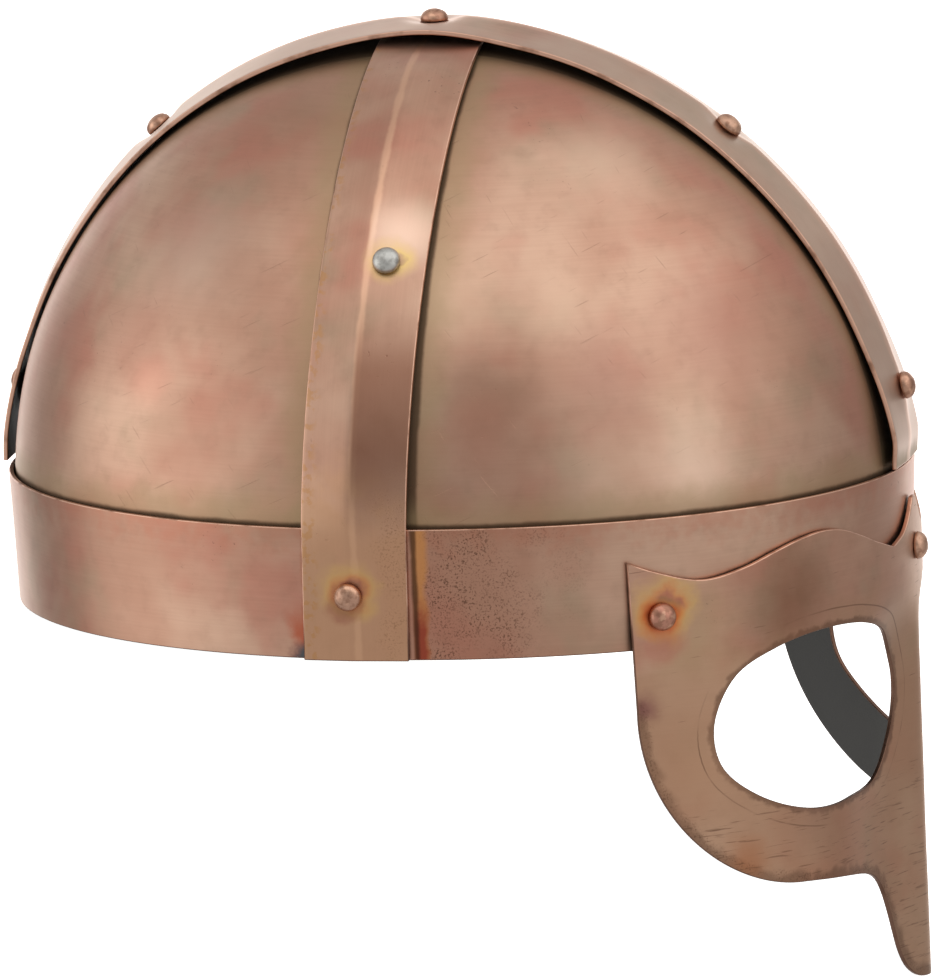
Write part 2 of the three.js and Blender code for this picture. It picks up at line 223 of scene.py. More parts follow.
floor_paint = bpy.data.materials.new("matt_white_floor_paint")
floor_paint.use_nodes = True
floor_shader = floor_paint.node_tree.nodes["Principled BSDF"]
floor_shader.inputs["Base Color"].default_value = linear("#FAFAF9")
floor_shader.inputs["Roughness"].default_value = 0.9
floor_shader.inputs["Specular IOR Level"].default_value = 0.1
floor_shader.inputs["Emission Color"].default_value = linear("#FFFFFF")
floor_shader.inputs["Emission Strength"].default_value = 1.0
floor_mesh.materials.append(floor_paint)

softbox_data = bpy.data.lights.new("overhead_softbox", "AREA")
softbox_data.shape = "DISK"
softbox_data.size = 2.6
softbox_data.energy = 5
softbox = bpy.data.objects.new("overhead_softbox", softbox_data)
bpy.context.scene.collection.objects.link(softbox)
softbox.location = direction(40, 74) * 2.2
softbox.rotation_euler = softbox.location.to_track_quat("Z", "Y").to_euler()
print("floor half width:", FLOOR_HALF, "m")

# %% [markdown]
# ## Antique copper on sheet steel
# The steel is plated with copper, dipped until it turns brown, brushed, and rubbed back by
# hand. What the eye sees is a soft metal with cloudy patches of tan, red and olive, a fine
# brushed grain that runs along each piece, dark specks where the plating is thin, and a darker
# brown where two sheets meet and the rubbing pad didn't reach.
#
# Each piece's finish starts from the same layers, so one function makes the base, and small
# functions lay more over it. A finish in the making is a plain dict with the tree, the level
# coordinates, the colour, the roughness and the height of the surface.

# %% Base of the copper finish
COPPER = {"tan": "#C8A58F", "mid": "#B58B76", "red": "#B67C6A", "olive": "#A28D75", "brown": "#7A5B49"}


def level_place(tree):
    """Coordinates on the level helmet: the piece's own, with the lean and the shift taken back."""
    return add(tree, "ShaderNodeMapping", {
        "Vector": add(tree, "ShaderNodeTexCoord", out=3),
        "Location": HELMET.translation,
        "Rotation": HELMET.to_euler(),
    }, vector_type="TEXTURE")


def lay_over(coat, mask, colour, roughness=None):
    """Another layer of the finish, which shows where the mask is 1."""
    tree = coat["tree"]
    coat["colour"] = add(tree, "ShaderNodeMix", {
        0: mask, 6: coat["colour"], 7: colour,
    }, out=2, data_type="RGBA")
    if roughness is not None:
        coat["rough"] = add(tree, "ShaderNodeMix", {0: mask, 2: coat["rough"], 3: roughness})


def patches(coat, size, low, high, stretch=(1, 1, 1), shift=0.0, detail=3, most=1.0):
    """A mask of cloudy patches about as wide as the size in mm, drawn out along the stretch."""
    tree = coat["tree"]
    drawn = add(tree, "ShaderNodeVectorMath", {
        0: coat["place"], 1: [1 / s for s in stretch], 2: (shift, shift * 0.7, -shift),
    }, operation="MULTIPLY_ADD")
    cloud = add(tree, "ShaderNodeTexNoise", {
        "Vector": drawn, "Scale": 1 / (size * MM), "Detail": detail, "Roughness": 0.55,
    })
    return add(tree, "ShaderNodeMapRange", {
        "Value": cloud, "From Min": low, "From Max": high, "To Max": most,
    }, interpolation_type="SMOOTHSTEP")


def times(coat, first, second):
    return add(coat["tree"], "ShaderNodeMath", {0: first, 1: second}, operation="MULTIPLY")


def raise_by(coat, mask, height):
    """Adds to the height of the surface, in mm, where the mask is 1."""
    tree = coat["tree"]
    coat["height"] = add(tree, "ShaderNodeMath", {
        0: mask, 1: height, 2: coat["height"],
    }, operation="MULTIPLY_ADD")


def copper_base(name, grain, mid="mid", shift=0.0, rough=0.36):
    """The layers that all pieces share. The grain is how far the brush marks run along X, Y and Z."""
    material = bpy.data.materials.new(name)
    material.use_nodes = True
    tree = material.node_tree
    tree.nodes.clear()
    coat = {"material": material, "tree": tree, "height": 0.0, "rough": rough}
    coat["place"] = level_place(tree)
    coat["colour"] = linear(COPPER[mid])

    # Clouds of rubbed tan, red copper and olive, 20 to 60 mm across.
    lay_over(coat, patches(coat, 48, 0.40, 0.66, shift=shift + 1.3, most=0.85), linear(COPPER["tan"]))
    lay_over(coat, patches(coat, 36, 0.46, 0.70, shift=shift + 5.1, most=0.8), linear(COPPER["red"]))
    lay_over(coat, patches(coat, 28, 0.52, 0.76, shift=shift + 8.7, most=0.6), linear(COPPER["olive"]))

    # Finer mottling, 5 mm across, and the grain of the brush, 0.5 mm apart. A real brush mark
    # is nearer 0.1 mm, so it is drawn coarser than it is to show at all.
    lay_over(coat, patches(coat, 5, 0.45, 0.80, shift=shift, most=0.15), linear(COPPER["brown"]))
    brushed = patches(coat, 0.5, 0.30, 0.70, stretch=grain, shift=shift, detail=2)
    lay_over(coat, times(coat, brushed, 0.06), linear(COPPER["brown"]), rough + 0.10)
    raise_by(coat, brushed, -0.0015)
    streaks = patches(coat, 2.2, 0.50, 0.85, stretch=grain, shift=shift + 3.0, detail=3)
    lay_over(coat, times(coat, streaks, 0.10), linear(COPPER["tan"]), rough - 0.02)

    # Where the finish is thin, specks under 1 mm of bare dark steel.
    thin = patches(coat, 22, 0.56, 0.74, shift=shift + 2.2)
    specks = patches(coat, 0.9, 0.66, 0.74, shift=shift + 6.0, detail=2)
    speckled = times(coat, thin, specks)
    lay_over(coat, times(coat, speckled, 0.55), linear("#4A3A30"), 0.6)
    raise_by(coat, speckled, -0.03)
    return coat


def finish(coat):
    """Links the finished layers to one metal shader."""
    tree = coat["tree"]
    bump = add(tree, "ShaderNodeBump", {"Height": coat["height"], "Distance": MM, "Strength": 1.0})
    shader = add(tree, "ShaderNodeBsdfPrincipled", {
        "Base Color": coat["colour"], "Roughness": coat["rough"], "Normal": bump, "Metallic": 1.0,
    })
    add(tree, "ShaderNodeOutputMaterial", {"Surface": shader})
    return coat["material"]


# %% [markdown]
# ## Layers that only some places have
# Three things tell where the pieces were joined. Along a seam the dark dip stays in the corner, and the
# narrowest dark line there is painted shade under an edge that stands off.
# Round a rivet the metal was heated, and heat colours steel and copper in rings: yellow
# furthest out, then orange, then red and purple next to the rivet. And some places were
# eaten into small dark pits by the dip.

# %% Seams, heat rings, pits and scratches
def axis_value(coat, axis, centre=0.0):
    """The distance in mm from a level plane through the centre, along X, Y or Z."""
    tree = coat["tree"]
    part = add(tree, "ShaderNodeSeparateXYZ", {0: coat["place"]}, out="XYZ".index(axis))
    away = add(tree, "ShaderNodeMath", {0: part, 1: centre * MM}, operation="SUBTRACT")
    return add(tree, "ShaderNodeMath", {0: away, 1: 1 / MM}, operation="MULTIPLY")


def size_of(coat, value):
    return add(coat["tree"], "ShaderNodeMath", {0: value}, operation="ABSOLUTE")


def between(coat, value, start, end, most=1.0):
    """Rises from 0 at the start to its most at the end. The end may be the lower of the two."""
    low, high = min(start, end), max(start, end)
    ends = {"To Min": 0.0, "To Max": most} if start < end else {"To Min": most, "To Max": 0.0}
    return add(coat["tree"], "ShaderNodeMapRange", {
        "Value": value, "From Min": low, "From Max": high, **ends,
    }, interpolation_type="SMOOTHSTEP")


def ragged(coat, value, amount, size=4.0, shift=0.0):
    """The value with an uneven edge, moved by up to about the amount in mm."""
    tree = coat["tree"]
    uneven = patches(coat, size, 0.25, 0.75, shift=shift, detail=4, most=amount)
    return add(tree, "ShaderNodeMath", {0: value, 1: uneven}, operation="SUBTRACT")


def seam(coat, away, width, code, most, roughness=0.5):
    """Darker along a seam, strongest at it and gone at the width in mm: wide, dip left in the corner; narrow
    and dark, painted shade under an edge that stands off, with some dip.
    """
    edge = ragged(coat, away, width * 0.35, 9)
    lay_over(coat, between(coat, edge, width, 0.0, most), linear(code), roughness)


HEAT = [
    (0.34, "#6B3C34", 0.80),
    (0.44, "#A8583F", 0.75),
    (0.56, "#D08A4A", 0.75),
    (0.72, "#D6AE62", 0.50),
    (1.00, "#CBA672", 0.0),
]


def heat_ring(coat, centre, reach, most=1.0, colours=None):
    """Heat colours round a rivet, out to the reach in mm."""
    tree = coat["tree"]
    wobble = patches(coat, 7, 0.2, 0.8, shift=centre.x * 0.1, most=0.30)
    apart = add(tree, "ShaderNodeVectorMath", {
        0: coat["place"], 1: centre * MM,
    }, out=1, operation="DISTANCE")
    share = add(tree, "ShaderNodeMath", {
        0: apart, 1: 1 / (reach * MM), 2: wobble,
    }, operation="MULTIPLY_ADD")
    ramp_out = add(tree, "ShaderNodeValToRGB", {0: share})
    ramp = ramp_out.node.color_ramp
    steps = colours or HEAT
    while len(ramp.elements) < len(steps):
        ramp.elements.new(0.5)
    for element, (position, code, alpha) in zip(ramp.elements, steps):
        element.position = position
        element.color = linear(code)[:3] + [alpha]
    lay_over(coat, times(coat, ramp_out.node.outputs[1], most), ramp_out, 0.4)


def gap_to(coat, centre):
    """The distance in mm from a place on the level helmet."""
    tree = coat["tree"]
    apart = add(tree, "ShaderNodeVectorMath", {
        0: coat["place"], 1: Vector(centre) * MM,
    }, out=1, operation="DISTANCE")
    return add(tree, "ShaderNodeMath", {0: apart, 1: 1 / MM}, operation="MULTIPLY")


def blotch(coat, centre, reach, code, most, roughness=None):
    """A soft cloud of another tone round a place on the level helmet, out to the reach in mm."""
    torn = ragged(coat, gap_to(coat, centre), reach * 0.35, reach * 0.9, centre[0] * 0.1)
    lay_over(coat, between(coat, torn, reach, -reach * 0.25, most), linear(code), roughness)


def pits(coat, where, depth=0.04):
    """Small dark pits, 0.3 to 0.6 mm across, where the mask is 1, in uneven crowds."""
    crowd = times(coat, where, patches(coat, 9, 0.30, 0.62, shift=4.0))
    eaten = times(coat, crowd, patches(coat, 0.5, 0.50, 0.66, shift=11.0, detail=3))
    lay_over(coat, times(coat, eaten, 0.75), linear("#54392D"), 0.55)
    raise_by(coat, eaten, -depth)


def scratches(coat, spacing, turn, length, most=0.5, shift=0.0):
    """Hairline scratches: long thin stretched specks, turned by an angle round Y."""
    tree = coat["tree"]
    turned_place = add(tree, "ShaderNodeVectorRotate", {
        "Vector": coat["place"], "Angle": math.radians(turn),
    }, rotation_type="Y_AXIS")
    drawn = add(tree, "ShaderNodeVectorMath", {
        0: turned_place, 1: (1 / length, 1 / length, 1), 2: (shift, shift, shift),
    }, operation="MULTIPLY_ADD")
    lines = add(tree, "ShaderNodeTexNoise", {"Vector": drawn, "Scale": 1 / (spacing * MM), "Detail": 1.0})
    thin = between(coat, lines, 0.74, 0.80)
    lay_over(coat, times(coat, thin, most), linear("#6E5140"), 0.5)
    raise_by(coat, thin, -0.02)


# %% [markdown]
# ## Sheet metal as a mesh
# Each sheet has an outer and an inner face, the sheet's thickness apart, and a narrow edge all
# round. One function makes that from a formula for its points. A small bevel rounds the edges,
# as filing does, and gives them the edge finish: the bright line of a rubbed cut edge, partly
# rubbed copper and partly a painted highlight.
#
# Hand work leaves a sheet a little uneven, which shows as soft waves in what it reflects. So
# each point sinks by a fraction of a millimetre, by a smooth noise that is the same every run.

# %% Functions for a piece of sheet
OUTSIDE, EDGE, INSIDE = 0, 1, 2


def uneven(point, size, height):
    """How far hand work sank the surface here, from 0 to the height in mm."""
    return height * min(max(0.5 + 0.7 * noise.noise(point / size), 0.0), 1.0)


def place_piece(name, mesh, materials, nodes):
    """Leans a level mesh with the helmet and gives it its finishes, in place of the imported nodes."""
    piece = bpy.data.objects.new(name, mesh)
    bpy.context.scene.collection.objects.link(piece)
    for material in materials:
        mesh.materials.append(material)
    mesh.transform(HELMET)
    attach(piece, "root")
    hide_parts(*nodes)
    return piece


def file_edges(piece, width=0.28):
    """Rounds the sharp edges and keeps the broad faces' shading flat up to them."""
    bevel = piece.modifiers.new("filed_edge", "BEVEL")
    bevel.width = width * MM
    bevel.segments = 2
    bevel.limit_method = "ANGLE"
    bevel.angle_limit = math.radians(50)
    bevel.material = EDGE
    weights = piece.modifiers.new("even_shading", "WEIGHTED_NORMAL")
    weights.keep_sharp = True


def sheet_mesh(name, rows, columns, place_point, round_way=False, closed_top=False):
    """A closed sheet from a formula of (share of the rows, share of the columns, depth)."""
    bm = bmesh.new()
    spans = columns if round_way else columns - 1
    grids = []
    for depth in (1, 0):
        grids.append([
            [bm.verts.new(place_point(i / (rows - 1), j / spans, depth) * MM) for j in range(columns)]
            for i in range(rows)
        ])
    outer, inner = grids

    def face(corners, material):
        new = bm.faces.new(corners)
        new.material_index = material
        new.smooth = True

    for grid, material in ((outer, OUTSIDE), (inner, INSIDE)):
        for i in range(rows - 1):
            for j in range(spans):
                k = (j + 1) % columns
                face([grid[i][j], grid[i][k], grid[i + 1][k], grid[i + 1][j]], material)
    for i in ([0] if closed_top else [0, rows - 1]):
        for j in range(spans):
            k = (j + 1) % columns
            face([outer[i][j], outer[i][k], inner[i][k], inner[i][j]], EDGE)
    if not round_way:
        for j in (0, columns - 1):
            for i in range(rows - 1):
                face([outer[i][j], outer[i + 1][j], inner[i + 1][j], inner[i][j]], EDGE)
    bmesh.ops.remove_doubles(bm, verts=bm.verts, dist=1e-7)
    bmesh.ops.recalc_face_normals(bm, faces=bm.faces)
    mesh = bpy.data.meshes.new(name)
    bm.to_mesh(mesh)
    bm.free()
    print(name, "faces:", len(mesh.polygons))
    return mesh


# %% [markdown]
# ## The rubbed edge with its painted highlight, and the painted inside
# The cut edges of the sheets were rubbed bright, so the copper there is lighter and smoother, and
# the lighter colour is partly a painted highlight where the thin edges catch the light. Below
# 12 mm up, the edges turn darker.
# The inside was sprayed with a dark grey paint, which is matt and faintly grainy.

# %% Edge and inside finishes
edge_coat = {"height": 0.0, "rough": 0.3}
edge_coat["material"] = bpy.data.materials.new("rubbed_copper_edge_and_painted_highlight")
edge_coat["material"].use_nodes = True
edge_coat["tree"] = edge_coat["material"].node_tree
edge_coat["tree"].nodes.clear()
edge_coat["place"] = level_place(edge_coat["tree"])
# Light copper: partly rubbed copper, partly a painted highlight on the edge.
edge_coat["colour"] = linear("#CFA48E")
lay_over(edge_coat, patches(edge_coat, 6, 0.46, 0.72, most=0.75), linear("#8A6450"), 0.45)
# Darker towards the bottom, below 12 mm up.
low_edge = between(edge_coat, axis_value(edge_coat, "Z"), 12, 4, 0.85)
lay_over(edge_coat, low_edge, linear("#5E4438"), 0.5)
EDGE_COPPER = finish(edge_coat)

INSIDE_PAINT = bpy.data.materials.new("sprayed_dark_grey_paint")
INSIDE_PAINT.use_nodes = True
paint_tree = INSIDE_PAINT.node_tree
paint_tree.nodes.clear()
paint_place = level_place(paint_tree)
PAINT_GRAIN = 0.6
grain_cloud = add(paint_tree, "ShaderNodeTexNoise", {"Vector": paint_place, "Scale": 1 / (PAINT_GRAIN * MM)})
paint_cloud = add(paint_tree, "ShaderNodeTexNoise", {"Vector": paint_place, "Scale": 45, "Detail": 4})
paint_colour = add(paint_tree, "ShaderNodeMix", {
    0: paint_cloud, 6: linear("#211F1D"), 7: linear("#2E2C28"),
}, out=2, data_type="RGBA")
paint_bump = add(paint_tree, "ShaderNodeBump", {"Height": grain_cloud, "Distance": 0.02 * MM})
paint_shader = add(paint_tree, "ShaderNodeBsdfPrincipled", {
    "Base Color": paint_colour, "Roughness": 0.55, "Normal": paint_bump,
})
add(paint_tree, "ShaderNodeOutputMaterial", {"Surface": paint_shader})
print("shared finishes:", EDGE_COPPER.name, INSIDE_PAINT.name)

# %% [markdown]
# ## Bowl
# The bowl is raised from one disc of sheet. It stands upright inside the brow band and rounds
# over above it, a little more pointed than an ellipse. Its finish is the cloudiest of all, with
# olive brown dip left along the band, under the crest and beside the strap.

# %% Bowl shape
BOWL_RIM = {"front": 112.0, "rear": 112.3, "width": 98.0, "z": 1.5}
BOWL_BROW = {"front": 113.4, "rear": 114.0, "width": 99.2}
BOWL_TOP = 141.5
BOWL_POWER = 1.885
BOWL_SHOULDERS = {"front": 1.885, "rear": 2.15}
BOWL_WIDTH_POWER = 1.68
CROSSING = -1.7
CREST_HALF = 14.2
STRAP_HALF = 13.3


def bowl_point(share, turn, depth):
    """Rim at share 0, brow line at 0.12 and the top at 1."""
    inset = SHEET * (1 - depth)
    brow_share = 0.12
    angle = turn * math.tau
    end = "front" if math.cos(angle) > 0 else "rear"
    if share < brow_share:
        part = share / brow_share
        length, width = (mix(BOWL_RIM[side], BOWL_BROW[side], part) - inset for side in (end, "width"))
        z = mix(BOWL_RIM["z"], BAND_HEIGHT, part)
    else:
        rise = math.sin((share - brow_share) / (1 - brow_share) * math.pi / 2)
        up = rise ** (2 / BOWL_POWER)
        length = (BOWL_BROW[end] - inset) * max(1 - up ** BOWL_POWER, 0) ** (1 / BOWL_SHOULDERS[end])
        width = (BOWL_BROW["width"] - inset) * max(1 - up ** BOWL_WIDTH_POWER, 0) ** (1 / BOWL_WIDTH_POWER)
        z = BAND_HEIGHT + (BOWL_TOP - inset - BAND_HEIGHT) * up
    point = Vector((length * math.cos(angle), width * math.sin(angle), z))
    sink = uneven(point, 34, 0.3) * ease(BAND_HEIGHT, BAND_HEIGHT + 12, z)
    centre = Vector((0, 0, BAND_HEIGHT))
    return point + (centre - point).normalized() * sink


# %% Bowl finish
bowl_coat = copper_base("antique_copper_bowl", grain=(40, 40, 1), rough=0.38)
to_strap = size_of(bowl_coat, axis_value(bowl_coat, "X", CROSSING - 0.6))
to_crest = size_of(bowl_coat, axis_value(bowl_coat, "Y"))
above_band = axis_value(bowl_coat, "Z", BAND_HEIGHT)
from_strap = add(bowl_coat["tree"], "ShaderNodeMath", {0: to_strap, 1: STRAP_HALF}, operation="SUBTRACT")
from_crest = add(bowl_coat["tree"], "ShaderNodeMath", {0: to_crest, 1: CREST_HALF}, operation="SUBTRACT")
# Soft clouds round listed places, the same on both sides. The pale ones are painted highlights where the
# bowl would reflect a bright panel; the darker ones are partly painted shade and partly the finish's own
# darker, redder tone.
BOWL_LIGHT_AND_TONE_CLOUDS = [
    ((30, 88, 63), 20, "#946F5C", 0.75), ((55, 78, 67), 20, "#A5796A", 0.6),
    ((80, 54, 76), 24, "#A87768", 0.6), ((54, 86, 43), 17, "#CDAD97", 0.55),
    ((76, 72, 44), 17, "#D6B8A4", 0.7), ((14, 79, 87), 20, "#D2B298", 0.7),
    ((48, 41, 115), 20, "#D0B19B", 0.6), ((43, 72, 86), 15, "#D6B69E", 0.5),
    ((-46, 87, 53), 18, "#A9836F", 0.5), ((-51, 61, 96), 24, "#C5A795", 0.6),
    ((-61, 75, 65), 9, "#D8A48E", 0.6), ((-30, 34, 127), 18, "#94765F", 0.4),
    ((27, 92, 54), 16, "#BC7F6B", 0.45), ((-65, 67, 77), 20, "#A8705F", 0.4),
]
for (x, y, z), reach, code, most in BOWL_LIGHT_AND_TONE_CLOUDS:
    for side in (-1, 1):
        blotch(bowl_coat, (x, side * y, z), reach, code, most)
# Along the band, the crest and the strap: a wide olive band of dip, and a narrow dark line that is painted
# shade under the edge that stands off, with some dip in the corner.
for away in (from_strap, from_crest, above_band):
    seam(bowl_coat, away, 9.0, "#A08A68", 0.5)
    seam(bowl_coat, away, 1.2, "#4B3A2B", 0.8, 0.6)
scratches(bowl_coat, 0.35, 25, 36, shift=2.0, most=0.22)
scratches(bowl_coat, 0.35, -50, 30, shift=9.0, most=0.18)
bowl_copper = finish(bowl_coat)

# %% Bowl
bowl_mesh = sheet_mesh("helmet_bowl", 64, 168, bowl_point, round_way=True, closed_top=True)
bowl = place_piece(
    "helmet_bowl", bowl_mesh, [bowl_copper, EDGE_COPPER, INSIDE_PAINT], ["bowl"],
)
file_edges(bowl)

# %% [markdown]
# ## Brow band
# A strip of the same sheet, bent into a hoop and brushed round. Beside the strap it was heated
# when the strap was fastened, so a narrow orange stripe runs down it there, and the plating in
# front of that is pitted.

# %% Brow band finish
band_coat = copper_base("antique_copper_brow_band", grain=(30, 30, 1), shift=17.0, rough=0.36)
along_band = axis_value(band_coat, "X", CROSSING - 0.6)
up_band = axis_value(band_coat, "Z")
lay_over(band_coat, between(band_coat, ragged(band_coat, up_band, 8), 20, 33, 0.4), linear("#B5715A"))
before_strap = add(band_coat["tree"], "ShaderNodeMath", {0: along_band, 1: STRAP_HALF}, operation="SUBTRACT")
pitted = times(
    band_coat,
    between(band_coat, ragged(band_coat, before_strap, 18, 12), 34, 6),
    between(band_coat, before_strap, 0.0, 3.0),
)
lay_over(band_coat, times(band_coat, pitted, 0.3), linear("#A0705A"))
pits(band_coat, pitted)
stripe = times(
    band_coat,
    between(band_coat, ragged(band_coat, before_strap, 1.4, 7), 3.0, 1.0),
    between(band_coat, before_strap, -1.0, 0.2),
)
lay_over(band_coat, times(band_coat, stripe, 0.8), linear("#C98B52"), 0.42)
low_down = between(band_coat, ragged(band_coat, up_band, 6, 6), 16, 4)
lay_over(band_coat, times(band_coat, stripe, low_down), linear("#9A4A38"), 0.45)
# A narrow dark line along the strap's front edge: painted shade under the edge that stands off, with some
# dip.
seam(band_coat, size_of(band_coat, before_strap), 1.0, "#4A3226", 0.8, 0.6)
behind_strap = add(band_coat["tree"], "ShaderNodeMath", {0: along_band, 1: STRAP_HALF}, operation="ADD")
low_patch = times(
    band_coat,
    between(band_coat, ragged(band_coat, size_of(band_coat, behind_strap), 3, 5), 6, 1),
    between(band_coat, up_band, 16, 6),
)
rust_line = between(band_coat, ragged(band_coat, size_of(band_coat, behind_strap), 1.2, 5), 2.2, 0.4, 0.7)
lay_over(band_coat, rust_line, linear("#9C5A38"), 0.5)
lay_over(band_coat, times(band_coat, low_patch, 0.8), linear("#B0563A"), 0.45)
lay_over(band_coat, times(band_coat, low_patch, between(band_coat, up_band, 5, 2)), linear("#57595C"), 0.5)
# A narrow dark line along the strap's rear edge: painted shade under the edge that stands off, with some
# dip.
seam(band_coat, size_of(band_coat, behind_strap), 1.6, "#4A3226", 0.7, 0.6)
band_copper = finish(band_coat)


# %% Brow band
def worn_band_point(share, turn, depth):
    point = band_point(share, turn, depth)
    outward = Vector((point.x, point.y, 0)).normalized()
    return point - outward * uneven(point + Vector((90, 0, 0)), 30, 0.22)


band_mesh = sheet_mesh("helmet_brow_band", 13, 260, worn_band_point, round_way=True)
brow_band = place_piece(
    "helmet_brow_band", band_mesh, [band_copper, EDGE_COPPER, INSIDE_PAINT], ["brow_band"],
)
file_edges(brow_band)

# %% [markdown]
# ## Crest band
# The crest runs from brow to nape. It was folded along its middle and curled in at both ends
# over the brow band, and it stands a few millimetres off the bowl, so a dark gap shows under
# its edge. Its line is a rounded arch, and the fold draws its edges in towards the bowl.

# %% Crest band shape
CREST = {
    "top": 146.5, "reach": (118.6, 116.2), "out_power": (1.88, 2.02), "up_power": (1.88, 1.87),
    "end_fold": (0.5, 1.1),
    "tuck": (0.9, 0.2), "fold": 2.9, "crossing_fold": 2.1, "foot": BAND_HEIGHT + 0.4,
}

# Each crest rivet's turn, and how far in mm the ridge is beaten down round it. Below 0 it
# stands up a little instead.
CREST_RIVETS = {
    "rivet_crest_top": (90.8, 1.5), "rivet_crest_front_high": (50.2, 0.9),
    "rivet_crest_front_low": (11, -0.3), "rivet_crest_rear_high": (129.9, 1.2),
    "rivet_crest_rear_low": (169, 1.5),
}


def crest_ridge(degrees):
    """The ridge: 0 degrees at the brow, 90 at the top and 180 at the nape."""
    turn = math.radians(degrees)
    side = 0 if degrees < 90 else 1
    sign = 1 - 2 * side
    out = abs(math.cos(turn)) ** (2 / CREST["out_power"][side])
    z = BAND_HEIGHT + (CREST["top"] - BAND_HEIGHT) * math.sin(turn) ** (2 / CREST["up_power"][side])
    curl = CREST["tuck"][side] * (1 - ease(CREST["foot"], CREST["foot"] + 8, z))
    return Vector((CROSSING + sign * (CREST["reach"][side] * out - curl), 0, z))


def crest_outward(degrees):
    along = crest_ridge(degrees + 0.2) - crest_ridge(degrees - 0.2)
    return Vector((0, 1, 0)).cross(along).normalized()


crest_foot_share = (CREST["foot"] - BAND_HEIGHT) / (CREST["top"] - BAND_HEIGHT)
CREST_FIRST = math.degrees(math.asin(crest_foot_share ** (CREST["up_power"][0] / 2)))


def crest_point(along, across_share, depth):
    degrees = mix(CREST_FIRST, 180 - CREST_FIRST, along)
    spread = 2 * across_share - 1
    across = math.copysign(abs(spread) ** 1.3, spread)
    middle = mix(CREST["crossing_fold"], CREST["fold"], ease(0, 14, abs(degrees - 91)))
    fold = mix(CREST["end_fold"][degrees > 90], middle, ease(0, 22, min(degrees, 180 - degrees)))
    soft = 0.05
    rounded = math.hypot(across, soft) - soft
    point = crest_ridge(degrees)
    point.y = across * CREST_HALF
    sink = uneven(point + Vector((0, 300, 0)), 22, 0.25)
    for turn, dip in CREST_RIVETS.values():
        sink += dip * (1 - ease(2, 9, (point - crest_ridge(turn)).length))
    point -= crest_outward(min(max(degrees, 1), 179)) * (fold * rounded + SHEET * (1 - depth) + sink)
    point.y = across * CREST_HALF
    point.z = max(point.z, CREST["foot"])
    return point


# %% Crest band
crest_coat = copper_base("antique_copper_crest", grain=(30, 1, 30), shift=31.0, rough=0.36)
lay_over(crest_coat, patches(crest_coat, 30, 0.25, 0.55, shift=2.0, most=0.5), linear("#BFAA9A"))
across_crest = size_of(crest_coat, axis_value(crest_coat, "Y"))
seam(crest_coat, axis_value(crest_coat, "Z", BAND_HEIGHT), 5.0, "#8A7454", 0.7)
# A painted highlight along the ridge.
ridge_highlight = between(crest_coat, ragged(crest_coat, across_crest, 1.5, 5), 2.2, 0.2, 0.5)
lay_over(crest_coat, ridge_highlight, linear("#D2A68E"), 0.3)
crest_copper = finish(crest_coat)
crest_mesh = sheet_mesh("helmet_crest_band", 260, 21, crest_point)
crest_band = place_piece(
    "helmet_crest_band", crest_mesh, [crest_copper, EDGE_COPPER, INSIDE_PAINT],
    ["crest_band"],
)
file_edges(crest_band)

# %% [markdown]
# ## Side strap
# The strap goes over the bowl from ear to ear, under the crest, and down over the brow band. It
# has a soft crease a little behind its middle, with a painted highlight along it and a pale pool
# of painted highlight on the front face above the middle rivet, and the grain of the brush runs
# along it.

# %% Side strap shape
STRAP = {
    "top": 143.2, "reach": 102.2, "power": 1.672, "rim_reach": 100.9, "rim_z": 0.0,
    "fold": 2.4, "rim_fold": 0.7, "top_fold": 0.2, "crease": -1.0, "lean": 0.017, "band_share": 0.12,
}


def strap_line(along):
    side = -1 if along < 0.5 else 1
    way = min(along, 1 - along)
    if way < STRAP["band_share"]:
        part = way / STRAP["band_share"]
        y = mix(STRAP["rim_reach"], STRAP["reach"], part)
        z = mix(STRAP["rim_z"], BAND_HEIGHT, part)
    else:
        turn = (way - STRAP["band_share"]) / (0.5 - STRAP["band_share"]) * math.pi / 2
        y = STRAP["reach"] * max(math.cos(turn), 0) ** (2 / STRAP["power"])
        z = BAND_HEIGHT + (STRAP["top"] - BAND_HEIGHT) * math.sin(turn) ** (2 / STRAP["power"])
    return Vector((CROSSING + STRAP["lean"] * (z - STRAP["top"]), side * y, z))


def strap_outward(along):
    inside = min(max(along, 0.006), 0.994)
    way = strap_line(inside + 0.006) - strap_line(inside - 0.006)
    return Vector((1, 0, 0)).cross(way).normalized()


def strap_fold(point):
    """How far the crease stands out: little at the rim, and almost nothing under the crest."""
    fold = mix(STRAP["rim_fold"], STRAP["fold"], ease(5, 45, point.z))
    return mix(STRAP["top_fold"], fold, ease(12, 30, abs(point.y)))


def strap_point(along, across_share, depth):
    across = (2 * across_share - 1) * STRAP_HALF
    crease = STRAP["crease"]
    from_crease = across - crease
    half = STRAP_HALF - crease if from_crease > 0 else STRAP_HALF + crease
    soft = 0.7
    height = 1 - (math.hypot(from_crease, soft) - soft) / (math.hypot(half, soft) - soft)
    point = strap_line(along)
    sink = uneven(point + Vector((across, 0, 500)), 20, 0.2)
    rise = strap_fold(point) * height - SHEET * (1 - depth) - sink
    point += strap_outward(along) * rise
    point.x += across
    point.z = max(point.z, STRAP["rim_z"])
    return point


# %% Rivet seats on the strap, which its heat rings and its rivets share
RIVET_HEAD = 3.5
RIVET_GRIP = 7.4
GUARD_GRIP = 3.0
STRAP_MID = 0.281
STRAP_LOW = 0.06


def strap_seat(along, across):
    """Where a rivet's head sits on the strap, and which way it points."""
    outward = strap_outward(along)
    seat = strap_line(along)
    seat += outward * (strap_fold(seat) * (1 - abs(across) / STRAP_HALF) + 0.2)
    seat.x += across
    return seat, outward


strap_seats = {
    "rivet_strap_right_mid": strap_seat(STRAP_MID, 3.8),
    "rivet_strap_right_low": strap_seat(STRAP_LOW, -1.4),
    "rivet_strap_left_mid": strap_seat(1 - STRAP_MID, 3.8),
    "rivet_strap_left_low": strap_seat(1 - STRAP_LOW, -1.4),
}
print({name: [round(v, 1) for v in seat] for name, (seat, _) in strap_seats.items()})

